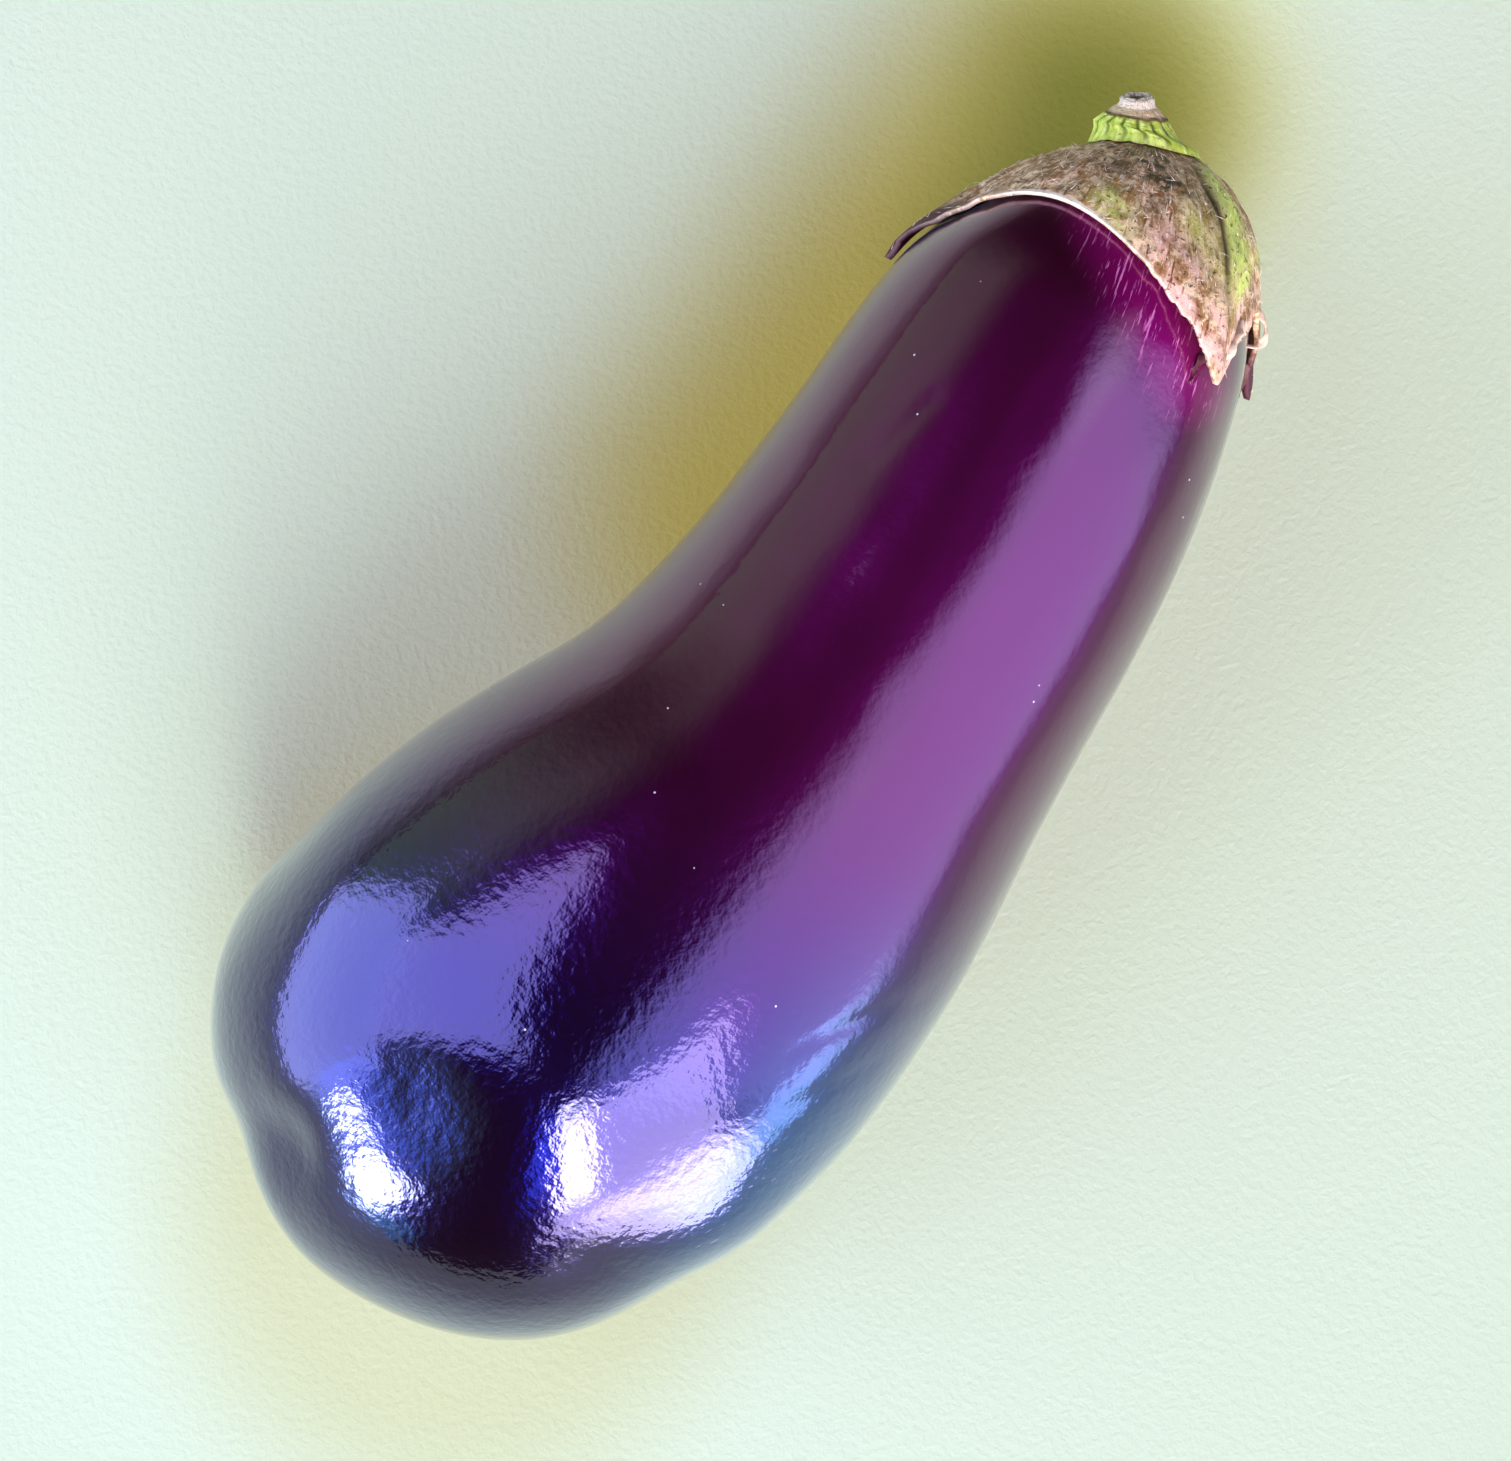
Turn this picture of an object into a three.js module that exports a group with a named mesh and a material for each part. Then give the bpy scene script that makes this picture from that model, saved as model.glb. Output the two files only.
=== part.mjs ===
// A purple globe eggplant lying on its side, as picked: the fleshy fruit, the leathery
// calyx that caps its shoulder, and the ribbed stump of stem with its dried, broken end.
// Millimetres, +Z up. The fruit lies on z = 0 with its blossom end towards -X and its stem
// towards +X, and the origin is under the middle of it.

import * as THREE from "three";

// Small maths that every piece uses.

const mix = (a, b, t) => a + (b - a) * t;
const clamp = (x, low, high) => Math.min(high, Math.max(low, x));
const smooth = (low, high, x) => {
  const t = clamp((x - low) / (high - low), 0, 1);
  return t * t * (3 - 2 * t);
};
const radians = (degrees) => (degrees * Math.PI) / 180;

// The value at share t of a smooth curve (a uniform cubic B-spline) that is drawn towards
// each row of numbers in turn and ends on the first and the last.
function along(rows, t) {
  const last = rows.length - 1;
  const row = (i) =>
    i < 0
      ? rows[0].map((v, k) => 2 * v - rows[1][k])
      : i > last
        ? rows[last].map((v, k) => 2 * v - rows[last - 1][k])
        : rows[i];
  const i = Math.min(Math.floor(t * last), last - 1);
  const f = t * last - i;
  const weights = [
    (1 - f) ** 3 / 6,
    (3 * f ** 3 - 6 * f ** 2 + 4) / 6,
    (-3 * f ** 3 + 3 * f ** 2 + 3 * f + 1) / 6,
    f ** 3 / 6,
  ];
  return rows[0].map((_, k) =>
    weights.reduce((sum, w, j) => sum + w * row(i - 1 + j)[k], 0),
  );
}

// A closed mesh from rings of points, each ring going round the same way, with a single
// point closing it at either end.
function closedRings(first, rings, last) {
  const count = rings[0].length;
  const points = [first, ...rings.flat(), last];
  const at = (ring, k) => 1 + ring * count + (k % count);
  const faces = [];
  for (let k = 0; k < count; k++) {
    faces.push(0, at(0, k + 1), at(0, k));
    faces.push(points.length - 1, at(rings.length - 1, k), at(rings.length - 1, k + 1));
    for (let ring = 0; ring + 1 < rings.length; ring++) {
      faces.push(at(ring, k), at(ring, k + 1), at(ring + 1, k + 1));
      faces.push(at(ring, k), at(ring + 1, k + 1), at(ring + 1, k));
    }
  }
  const geometry = new THREE.BufferGeometry();
  geometry.setAttribute(
    "position",
    new THREE.Float32BufferAttribute(points.flatMap((p) => [p.x, p.y, p.z]), 3),
  );
  geometry.setIndex(faces);
  geometry.computeVertexNormals();
  return geometry;
}

function piece(name, geometry, color, roughness) {
  const mesh = new THREE.Mesh(
    geometry,
    new THREE.MeshStandardMaterial({ color, roughness, metalness: 0 }),
  );
  mesh.name = name;
  return mesh;
}

// The fruit: a berry with a heavy belly and a slimmer neck that bends a little to one side.
// Each row is a place along its middle line: x, y, z, half the width, half the height.
const FRUIT_LINE = [
  [-111.4, 10, 44, 46, 36.5],
  [-94, 7, 42.8, 47.2, 40.8],
  [-74, 5.2, 42.6, 48, 42.6],
  [-54, -0.6, 42.6, 49.2, 43.4],
  [-34, -6.4, 43, 46.2, 43.8],
  [-14, -12, 42, 41.1, 42.4],
  [6, -13.9, 42.6, 36.8, 39.6],
  [26, -15.4, 45, 34.7, 36.4],
  [46, -16.4, 47.2, 33.3, 34],
  [66, -15.6, 49, 31, 31.8],
  [86, -13.8, 50.4, 26.7, 28.8],
  [104, -10.8, 51.6, 24.3, 25],
];
const BLOSSOM_CAP = 0.27; // share of the line over which the blossom end rounds off
const BLOSSOM_ROUND = 2.1; // power of that rounding: 2 is an ellipse, more is blunter
const STEM_CAP = 0.14;
const STEM_ROUND = 2.2;
const SECTION_ROUND = 2.25; // power of a section's outline: 2 is an ellipse, more is squarer
const REST_Z = 1.2; // the weight of the fruit flattens it slightly where it lies
const LINE_STEP = 0.06; // share of the line either side over which its direction is taken

// Swells and hollows of the flesh. Each follows a line from one point to another, raises
// the skin by so many mm, and fades out over its reach.
const FRUIT_SWELLS = [
  { from: [-100, 38, 44], to: [-96, 29, 66], by: -1.4, reach: 7 }, // pinch beside the end
  { from: [-96, 29, 66], to: [-80, 14, 83], by: -1.6, reach: 12 }, // it runs over the top
  { from: [-80, 52, 43], to: [-89, 46, 38], by: 4, reach: 18 }, // upper lobe
  { from: [-63, 51, 42], to: [-67, 51, 40], by: 1.4, reach: 9 }, // where that lobe ends
  { from: [-106, 16, 44], to: [-106, 18, 34], by: 1.8, reach: 14 }, // lower lobe
  { from: [-83, -40, 50], to: [-71, -42, 47], by: -1.8, reach: 15 }, // flat side of the belly
  { from: [-84, -26, 72], to: [-70, -30, 77], by: -1.5, reach: 12 }, // dish in the near lobe
  { from: [-45, 8, 0], to: [-5, 0, 0], by: 0.8, reach: 16 }, // full underside
  { from: [102, -30, 50], to: [107, -23, 51], by: 2.6, reach: 10 }, // full shoulder
  { from: [101, 8, 57], to: [90, 12, 58], by: -4.4, reach: 13 }, // sloping shoulder
];

function fruitFrame(t) {
  const [x, y, z, wide, high] = along(FRUIT_LINE, t);
  const ahead = along(FRUIT_LINE, Math.min(t + LINE_STEP, 1));
  const behind = along(FRUIT_LINE, Math.max(t - LINE_STEP, 0));
  const tangent = new THREE.Vector3(
    ahead[0] - behind[0],
    ahead[1] - behind[1],
    ahead[2] - behind[2],
  ).normalize();
  const side = new THREE.Vector3(0, 0, 1).cross(tangent).normalize();
  const up = tangent.clone().cross(side);
  return { centre: new THREE.Vector3(x, y, z), side, up, tangent, wide, high };
}

// How much of its full size a section keeps at share t, as the two ends round off.
function capShare(t) {
  const end = (depth, length, power) =>
    depth >= length ? 1 : (1 - (1 - depth / length) ** power) ** (1 / power);
  return (
    end(t, BLOSSOM_CAP, BLOSSOM_ROUND) * end(1 - t, STEM_CAP, STEM_ROUND)
  );
}

function swellAt(point) {
  const line = new THREE.Line3();
  const nearest = new THREE.Vector3();
  let total = 0;
  for (const { from, to, by, reach } of FRUIT_SWELLS) {
    line.set(new THREE.Vector3(...from), new THREE.Vector3(...to));
    line.closestPointToPoint(point, true, nearest);
    total += by * Math.exp(-nearest.distanceToSquared(point) / reach ** 2);
  }
  return total;
}

// A point of the skin and the way out of the flesh there. Angle 0 is the top of the fruit,
// and a positive angle turns towards +Y.
function fruitSkin(t, angle) {
  const { centre, side, up, wide, high } = fruitFrame(t);
  const across = Math.sin(angle);
  const rise = Math.cos(angle);
  const full =
    (Math.abs(across) ** SECTION_ROUND + Math.abs(rise) ** SECTION_ROUND) **
    (-1 / SECTION_ROUND);
  const share = capShare(t) * full;
  const point = centre
    .clone()
    .addScaledVector(side, across * wide * share)
    .addScaledVector(up, rise * high * share);
  const heart = fruitFrame(clamp(t, BLOSSOM_CAP, 1 - STEM_CAP)).centre;
  const out = point.clone().sub(heart).normalize();
  point.addScaledVector(out, swellAt(point));
  return { point, out };
}

const FRUIT_ROWS = 42;
const FRUIT_COLUMNS = 54;

// Rows crowd together towards both ends, where the skin curves most.
const fruitRow = (k) => (1 - Math.cos((Math.PI * k) / FRUIT_ROWS)) / 2;

function buildFruit() {
  const rest = (p) => new THREE.Vector3(p.x, p.y, Math.max(p.z, REST_Z));
  const rings = [];
  for (let k = 1; k < FRUIT_ROWS; k++) {
    const ring = [];
    for (let c = 0; c < FRUIT_COLUMNS; c++) {
      const angle = (-2 * Math.PI * c) / FRUIT_COLUMNS;
      ring.push(rest(fruitSkin(fruitRow(k), angle).point));
    }
    rings.push(ring);
  }
  return closedRings(fruitSkin(0, 0).point, rings, fruitSkin(1, 0).point);
}

// The calyx: five sepals grown into one leathery cap, with a wide bay over the top of the
// fruit. A tip is the end of a sepal: its angle round the fruit, how far down the skin it
// reaches from the crown, and how far it curls off the skin. A bay is the edge between
// that tip and the next: how far down its middle is, and how round it is.
const CALYX_TIPS = [
  { angle: -43, down: 31.5, curl: 0.8 },
  { angle: 92, down: 33, curl: 0 },
  { angle: 142, down: 29, curl: 1.2 },
  { angle: 198, down: 31, curl: 2 },
  { angle: 256, down: 29, curl: 1.6 },
];
const CALYX_BAYS = [
  { down: 15.5, round: 1.9 },
  { down: 17, round: 1.8 },
  { down: 15, round: 1.8 },
  { down: 16, round: 1.8 },
  { down: 18, round: 1.8 },
];
const CALYX_GAP = 0.3; // clear of the skin
const CALYX_CROWN_THICK = 1.6;
const CALYX_EDGE_THICK = 0.8;
const KEEL_HIGH = 0.7; // the fold down the middle of each sepal
const KEEL_WIDE = 7; // degrees
const EDGE_LIFT = 0.25; // how far the drying edge stands off the skin
const EDGE_WAVE = 0.4;
const EDGE_WAVES = 23; // round the whole cap

const CALYX_COLUMNS = 100;
const CALYX_ROWS = 11;

// Which sepal's side an angle lies on: the tip's numbers, the bay beside it, and the share
// of the way from the middle of the bay (0) to the tip (1).
function sepalAt(angle) {
  const count = CALYX_TIPS.length;
  for (let i = 0; i < count; i++) {
    const from = CALYX_TIPS[i];
    const to = CALYX_TIPS[(i + 1) % count];
    const gap = (((to.angle - from.angle) % 360) + 360) % 360;
    const past = (((angle - from.angle) % 360) + 360) % 360;
    if (past <= gap) {
      const w = (2 * past) / gap - 1;
      const tip = w < 0 ? from : to;
      const toTip = Math.abs(w);
      return { tip, bay: CALYX_BAYS[i], toTip, fromKeel: ((1 - toTip) * gap) / 2 };
    }
  }
  throw new Error("no sepal at " + angle);
}

// How far down from the crown the edge is at an angle. Ragged waves grow towards the tips.
function calyxReach(angle) {
  const { tip, bay, toTip } = sepalAt(angle);
  const ragged = toTip ** 2 * (1 - toTip ** 6);
  const wave = EDGE_WAVE * Math.sin(radians(angle) * EDGE_WAVES) * ragged;
  return bay.down + (tip.down - bay.down) * toTip ** bay.round + wave;
}

const LINE_LENGTH = 222; // of the fruit's middle line, measured round its bends

// A point of the calyx at share q from the crown to the edge. Side is 0 on the underside
// and 1 on the outside.
function calyxPoint(q, angle, side) {
  const { tip, toTip, fromKeel } = sepalAt(angle);
  const down = calyxReach(angle) * (1 - Math.cos((q * Math.PI) / 2));
  const { point, out } = fruitSkin(1 - down / LINE_LENGTH, radians(angle));
  const lift =
    EDGE_LIFT * smooth(0.55, 1, q) +
    tip.curl * smooth(0.5, 1, q) ** 2 * toTip ** 8 +
    EDGE_LIFT * smooth(0.7, 1, q) * toTip * (1 + Math.sin(radians(angle) * EDGE_WAVES));
  const thick = mix(CALYX_CROWN_THICK, CALYX_EDGE_THICK, smooth(0.1, 0.9, q));
  const keel =
    KEEL_HIGH *
    Math.exp(-((fromKeel / KEEL_WIDE) ** 2)) *
    smooth(0.2, 0.5, q) *
    (1 - 0.6 * smooth(0.8, 1, q));
  return point.addScaledVector(out, CALYX_GAP + lift + side * (thick + keel));
}

function buildCalyx() {
  const ring = (q, side) => {
    const points = [];
    for (let c = 0; c < CALYX_COLUMNS; c++)
      points.push(calyxPoint(q, (-360 * c) / CALYX_COLUMNS, side));
    return points;
  };
  const rings = [];
  for (let k = 1; k <= CALYX_ROWS; k++) rings.push(ring(k / CALYX_ROWS, 0));
  for (let k = CALYX_ROWS; k >= 1; k--) rings.push(ring(k / CALYX_ROWS, 1));
  return closedRings(calyxPoint(0, 0, 0), rings, calyxPoint(0, 0, 1));
}

// The stem: a short ribbed stump. It spreads over the crown of the calyx, bends up, and
// ends in a dried collar where the rind has drawn back from the pale broken core.
const STEM_LINE = [
  [105.2, -9.9, 52.2],
  [106.9, -8.4, 53.2],
  [108.8, -7.2, 54.6],
  [110.9, -6, 56.1],
];
const STEM_LONG = 9; // its length
const STEM_END_WAY = new THREE.Vector3(0.76, 0.46, 0.46); // the way the broken end faces
const STEM_FOOT = 1.3; // how far down the calyx the foot spreads
const STEM_FOOT_WIDE = 9; // its radius there
const STEM_SEATED = 0.4; // share of the stem that still takes its shape from the crown
const STEM_GAP = 0.35;
// Each row is a place up the stem: share of its length, radius, share of the ribs' depth.
const STEM_SHAPE = [
  [0.12, 8.2, 0.8],
  [0.25, 7.3, 1],
  [0.38, 6.5, 1],
  [0.5, 5.8, 1],
  [0.6, 5.2, 0.8],
  [0.67, 5, 0.4],
  [0.72, 4.6, 0.2],
  [0.8, 3.9, 0.2],
  [0.83, 3.1, 0.3],
  [0.92, 2.9, 0.3],
  [0.99, 2.8, 0.3],
  [1, 2.2, 0],
  [0.96, 1.2, 0],
];
const STEM_RIBS = 15;
const STEM_RIB_DEEP = 0.45;
const STEM_COLUMNS = 60;

function buildStem() {
  const angles = Array.from({ length: STEM_COLUMNS }, (_, c) => (-360 * c) / STEM_COLUMNS);
  const crown = fruitFrame(1).tangent;
  const foot = (q, angle) => calyxPoint(q, angle, 1).addScaledVector(crown, STEM_GAP);
  const footShare = (angle) => (Math.acos(1 - STEM_FOOT / calyxReach(angle)) * 2) / Math.PI;
  const footRing = (share) => angles.map((angle) => foot(footShare(angle) * share, angle));
  const line = (share) => new THREE.Vector3(...along(STEM_LINE, share));
  const upperRing = ([share, radius, ribbed]) => {
    const tangent = crown.clone().lerp(STEM_END_WAY, share).normalize();
    const side = new THREE.Vector3(0, 0, 1).cross(tangent).normalize();
    const up = tangent.clone().cross(side);
    return angles.map((angle) => {
      const turn = radians(angle);
      const rib = STEM_RIB_DEEP * ribbed * (Math.cos(turn * STEM_RIBS) - 1) * 0.5;
      const wide = radius + rib;
      const round = line(share)
        .addScaledVector(side, Math.sin(turn) * wide)
        .addScaledVector(up, Math.cos(turn) * wide);
      return foot((footShare(angle) * wide) / STEM_FOOT_WIDE, angle)
        .addScaledVector(crown, share * STEM_LONG)
        .lerp(round, smooth(0, STEM_SEATED, share));
    });
  };
  const rings = [footRing(0.35), footRing(0.7), footRing(1), ...STEM_SHAPE.map(upperRing)];
  const [pit] = STEM_SHAPE[STEM_SHAPE.length - 1];
  return closedRings(foot(0, 0), rings, line(pit));
}

const group = new THREE.Group();
group.add(piece("fruit", buildFruit(), "#2a0f33", 0.2));
group.add(piece("calyx", buildCalyx(), "#8a7350", 0.8));
group.add(piece("stem", buildStem(), "#8fae4a", 0.75));

const box = new THREE.Box3().setFromObject(group);
const middle = box.getCenter(new THREE.Vector3());
for (const mesh of group.children)
  mesh.geometry.translate(-middle.x, -middle.y, -box.min.z);

export default group;
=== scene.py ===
import bpy
import numpy as np
from mathutils import Euler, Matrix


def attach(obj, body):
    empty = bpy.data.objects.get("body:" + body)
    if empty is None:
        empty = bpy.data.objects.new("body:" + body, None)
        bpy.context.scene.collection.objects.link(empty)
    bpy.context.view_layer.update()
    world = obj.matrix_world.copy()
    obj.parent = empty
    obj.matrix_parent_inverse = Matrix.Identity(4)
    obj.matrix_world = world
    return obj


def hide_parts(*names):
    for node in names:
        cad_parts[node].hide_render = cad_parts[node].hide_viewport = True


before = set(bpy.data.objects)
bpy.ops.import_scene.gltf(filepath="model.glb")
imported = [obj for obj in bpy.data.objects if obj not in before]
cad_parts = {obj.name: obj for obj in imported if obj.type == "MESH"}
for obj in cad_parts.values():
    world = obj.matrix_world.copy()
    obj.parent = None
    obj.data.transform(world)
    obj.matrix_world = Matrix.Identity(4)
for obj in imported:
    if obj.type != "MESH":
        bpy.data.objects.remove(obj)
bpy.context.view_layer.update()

# THE FRUIT
# A globe eggplant: a berry of pale spongy flesh in one thin waxy skin, near black purple.
# It grew as one piece, with a heavy belly, two soft lobes and a neck that bends aside.

MM = 0.001
PLACE = np.array([0.11, -0.46, -1.2])  # puts the origin under the middle of the whole, mm

# Each row is a place along the middle line: x, y, z, half the width, half the height.
FRUIT_LINE = np.array([
    [-111.4, 10, 44, 46, 36.5],
    [-94, 7, 42.8, 47.2, 40.8],
    [-74, 5.2, 42.6, 48, 42.6],
    [-54, -0.6, 42.6, 49.2, 43.4],
    [-34, -6.4, 43, 46.2, 43.8],
    [-14, -12, 42, 41.1, 42.4],
    [6, -13.9, 42.6, 36.8, 39.6],
    [26, -15.4, 45, 34.7, 36.4],
    [46, -16.4, 47.2, 33.3, 34],
    [66, -15.6, 49, 31, 31.8],
    [86, -13.8, 50.4, 26.7, 28.8],
    [104, -10.8, 51.6, 24.3, 25],
])
BLOSSOM_CAP = 0.27  # share of the line over which the blossom end rounds off
BLOSSOM_ROUND = 2.1  # power of that rounding: 2 is an ellipse, more is blunter
STEM_CAP = 0.14
STEM_ROUND = 2.2
SECTION_ROUND = 2.25  # power of a section's outline: 2 is an ellipse, more is squarer
REST_Z = 1.2  # the fruit's weight flattens it slightly where it lies
LINE_STEP = 0.06  # share of the line either side over which its direction is taken

# Swells and hollows: from a point, to a point, raised by so many mm, fading over a reach.
FRUIT_SWELLS = (
    ((-100, 38, 44), (-96, 29, 66), -1.4, 7),  # pinch beside the end
    ((-96, 29, 66), (-80, 14, 83), -1.6, 12),  # it runs over the top
    ((-80, 52, 43), (-89, 46, 38), 4, 18),  # upper lobe
    ((-63, 51, 42), (-67, 51, 40), 1.4, 9),  # where that lobe ends
    ((-106, 16, 44), (-106, 18, 34), 1.8, 14),  # lower lobe
    ((-83, -40, 50), (-71, -42, 47), -1.8, 15),  # flat side of the belly
    ((-84, -26, 72), (-70, -30, 77), -1.5, 12),  # dish in the near lobe
    ((-45, 8, 0), (-5, 0, 0), 0.8, 16),  # full underside
    ((102, -30, 50), (107, -23, 51), 2.6, 10),  # full shoulder
    ((101, 8, 57), (90, 12, 58), -4.4, 13),  # sloping shoulder
)


def along(rows, t):
    """Points at shares t of a curve drawn towards each row in turn: a uniform cubic
    B-spline, where each point is a mean of four rows weighted by cubics of the share."""
    rows = np.vstack([2 * rows[0] - rows[1], rows, 2 * rows[-1] - rows[-2]])
    place = np.clip(t, 0, 1) * (len(rows) - 3)
    i = np.minimum(place.astype(int), len(rows) - 4)
    f = (place - i)[..., None]
    return (
        (1 - f) ** 3 * rows[i]
        + (3 * f**3 - 6 * f**2 + 4) * rows[i + 1]
        + (-3 * f**3 + 3 * f**2 + 3 * f + 1) * rows[i + 2]
        + f**3 * rows[i + 3]
    ) / 6


def unit(v):
    """Each vector divided by its own length."""
    return v / np.linalg.norm(v, axis=-1, keepdims=True)


def fruit_frame(t):
    """At shares t of the middle line: its point, the level way across it, the way up
    square to both, and half the width and height of the section there."""
    row = along(FRUIT_LINE, t)
    ahead = along(FRUIT_LINE, np.minimum(t + LINE_STEP, 1))
    behind = along(FRUIT_LINE, np.maximum(t - LINE_STEP, 0))
    tangent = unit((ahead - behind)[..., :3])
    side = unit(np.cross([0.0, 0.0, 1.0], tangent))
    return row[..., :3], side, np.cross(tangent, side), row[..., 3:4], row[..., 4:5]


def rounded_end(depth, length, power):
    """How much of its full size a section keeps at a depth from the end of the line: one
    minus the share left to the cap's length, to a power, the whole to the inverse power."""
    left = 1 - np.clip(depth / length, 0, 1)
    return (1 - left**power) ** (1 / power)


def swell_at(point):
    """The sum over all swells of their height times exp(-(distance / reach) squared)."""
    total = np.zeros(point.shape[:-1])
    for start, end, by, reach in FRUIT_SWELLS:
        start = np.array(start, float)
        line = np.array(end, float) - start
        share = np.clip(((point - start) @ line) / (line @ line), 0, 1)
        away = point - (start + share[..., None] * line)
        total += by * np.exp(-(away**2).sum(-1) / reach**2)
    return total


def fruit_skin(t, angle):
    """Points of the skin and the way out of the flesh there. Each is the middle line's
    point plus sin(angle) half widths across and cos(angle) half heights up, both divided
    by the power mean of the sine and the cosine and made less by the rounded ends, then
    moved outwards by the swells. Angle 0 is the top."""
    centre, side, up, wide, high = fruit_frame(t)
    across, rise = np.sin(angle)[..., None], np.cos(angle)[..., None]
    full = (abs(across) ** SECTION_ROUND + abs(rise) ** SECTION_ROUND) ** (-1 / SECTION_ROUND)
    share = rounded_end(t, BLOSSOM_CAP, BLOSSOM_ROUND) * rounded_end(1 - t, STEM_CAP, STEM_ROUND)
    share = share[..., None] * full
    point = centre + side * across * wide * share + up * rise * high * share
    out = unit(point - fruit_frame(np.clip(t, BLOSSOM_CAP, 1 - STEM_CAP))[0])
    return point + out * swell_at(point)[..., None], out


def closed_rings(first, rings, last):
    """Points and faces of a closed skin: rings is an array of rings by points by xyz, each
    ring is joined to the next in quads, and one point closes either end in triangles."""
    count, size = rings.shape[:2]
    points = np.vstack([first, rings.reshape(-1, 3), last])
    k = np.arange(size)
    nxt = (k + 1) % size
    start = 1 + np.arange(count - 1)[:, None] * size
    quads = np.stack([start + k, start + nxt, start + size + nxt, start + size + k], -1)
    top = 1 + (count - 1) * size
    ends = np.vstack([
        np.stack([np.zeros(size, int), 1 + nxt, 1 + k], -1),
        np.stack([np.full(size, len(points) - 1), top + k, top + nxt], -1),
    ])
    return points, quads.reshape(-1, 4), ends


def skin_object(name, points, quads, ends, material, slot):
    """A smooth closed mesh object in the row frame, riding on the root body."""
    mesh = bpy.data.meshes.new(name)
    mesh.from_pydata((points + PLACE) * MM, [], quads.tolist() + ends.tolist())
    mesh.polygons.foreach_set("use_smooth", np.ones(len(mesh.polygons), bool))
    mesh.materials.append(material)
    thing = bpy.data.objects.new(name, mesh)
    bpy.context.scene.collection.objects.link(thing)
    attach(thing, "root")
    return thing


def paint(thing, name, values):
    """Gives the mesh one number a point, which a material reads by that name."""
    layer = thing.data.attributes.new(name, "FLOAT", "POINT")
    layer.data.foreach_set("value", np.asarray(values, np.float32).ravel())


def paint_grain(thing, *parts):
    """Gives the mesh one vector a point, from its three parts: the place of that point in
    a pattern that runs along the piece."""
    layer = thing.data.attributes.new("grain", "FLOAT_VECTOR", "POINT")
    layer.data.foreach_set("vector", np.stack(parts, -1).astype(np.float32).ravel())


def every_point(first, *grids, last):
    """The values of a closed skin's points in their order: one for its first end, those
    of each grid of rings, and one for its last end."""
    return np.hstack([first, *(np.ravel(grid) for grid in grids), last])


def new_material(name):
    """A material with its node tree and its Principled shader."""
    material = bpy.data.materials.new(name)
    material.use_nodes = True
    tree = material.node_tree
    return material, tree, tree.nodes["Principled BSDF"]


def feed(tree, socket, value):
    """Joins a socket to the one given, or sets it to the value given."""
    if isinstance(value, bpy.types.NodeSocket):
        tree.links.new(value, socket)
    else:
        socket.default_value = value


def set_sockets(shader, values):
    """Puts a constant on each socket of the shader that is named."""
    for name, value in values.items():
        shader.inputs[name].default_value = value


def node(tree, kind, **settings):
    """A node of that kind. A setting named for an input sets its value, or joins it to
    the socket given; any other setting is the node's own."""
    made = tree.nodes.new("ShaderNode" + kind)
    for key, value in settings.items():
        words = key.replace("_", " ")
        socket = made.inputs.get(words) or made.inputs.get(words.title())
        if socket is None:
            setattr(made, key, value)
        else:
            feed(tree, socket, value)
    return made


def attribute(tree, name, output="Fac"):
    """The socket that gives a painted attribute of the mesh."""
    return node(tree, "Attribute", attribute_name=name).outputs[output]


def blend(tree, share, first, second):
    """The socket of a second colour mixed over a first by a share. A Mix node has inputs
    of the same names for each kind of value, so those for colours are taken by number."""
    made = node(tree, "Mix", data_type="RGBA")
    for number, value in ((0, share), (6, first), (7, second)):
        feed(tree, made.inputs[number], value)
    return made.outputs[2]


def ramp(tree, value, low, high):
    """The socket of a value spread from low and high to 0 and 1 by an ease."""
    made = node(tree, "MapRange", Value=value, From_Min=low, From_Max=high)
    made.interpolation_type = "SMOOTHSTEP"
    return made.outputs["Result"]


def math(tree, operation, first, second=0.0):
    """The socket of one sum of two sockets or values."""
    made = node(tree, "Math", operation=operation)
    feed(tree, made.inputs[0], first)
    feed(tree, made.inputs[1], second)
    return made.outputs[0]


def times(tree, first, second):
    """The socket of two values multiplied."""
    return math(tree, "MULTIPLY", first, second)


def noise(tree, where, scale, detail=3.0, roughness=0.6):
    """The socket of a noise over a vector."""
    return node(
        tree, "TexNoise", Vector=where, Scale=scale, Detail=detail, Roughness=roughness
    ).outputs["Fac"]


def smooth(low, high, x):
    """A cubic ease from 0 at low to 1 at high."""
    t = np.clip((x - low) / (high - low), 0, 1)
    return t * t * (3 - 2 * t)


def bump(x, middle, wide):
    """exp(-((x - middle) / wide) squared): 1 at the middle, fading both ways."""
    return np.exp(-(((x - middle) / wide) ** 2))


def line_distance(points, start, end):
    """How far points are, seen from above, from the straight line between two places."""
    way = np.subtract(end, start)
    off = points[..., :2] - start
    share = np.clip(off @ way / (way @ way), 0, 1)
    return np.linalg.norm(off - share[..., None] * way, axis=-1)


def field(u, v, across, along_it, seed):
    """A smooth random field from -1 to 1: seeded random numbers at the corners of a
    lattice that is so many cells wide and tall over u and v from 0 to 1, blended between
    the corners by eases. It repeats in u."""
    values = np.random.default_rng(seed).uniform(-1, 1, (along_it + 2, across))
    x, y = (u % 1) * across, np.clip(v, 0, 1) * along_it
    i, j = np.floor(x).astype(int), np.floor(y).astype(int)
    fx, fy = smooth(0, 1, x - i), smooth(0, 1, y - j)
    left, right = i % across, (i + 1) % across
    low = values[j, left] * (1 - fx) + values[j, right] * fx
    high = values[j + 1, left] * (1 - fx) + values[j + 1, right] * fx
    return low * (1 - fy) + high * fy


FRUIT_ROWS = 255
FRUIT_COLUMNS = 350
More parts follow.
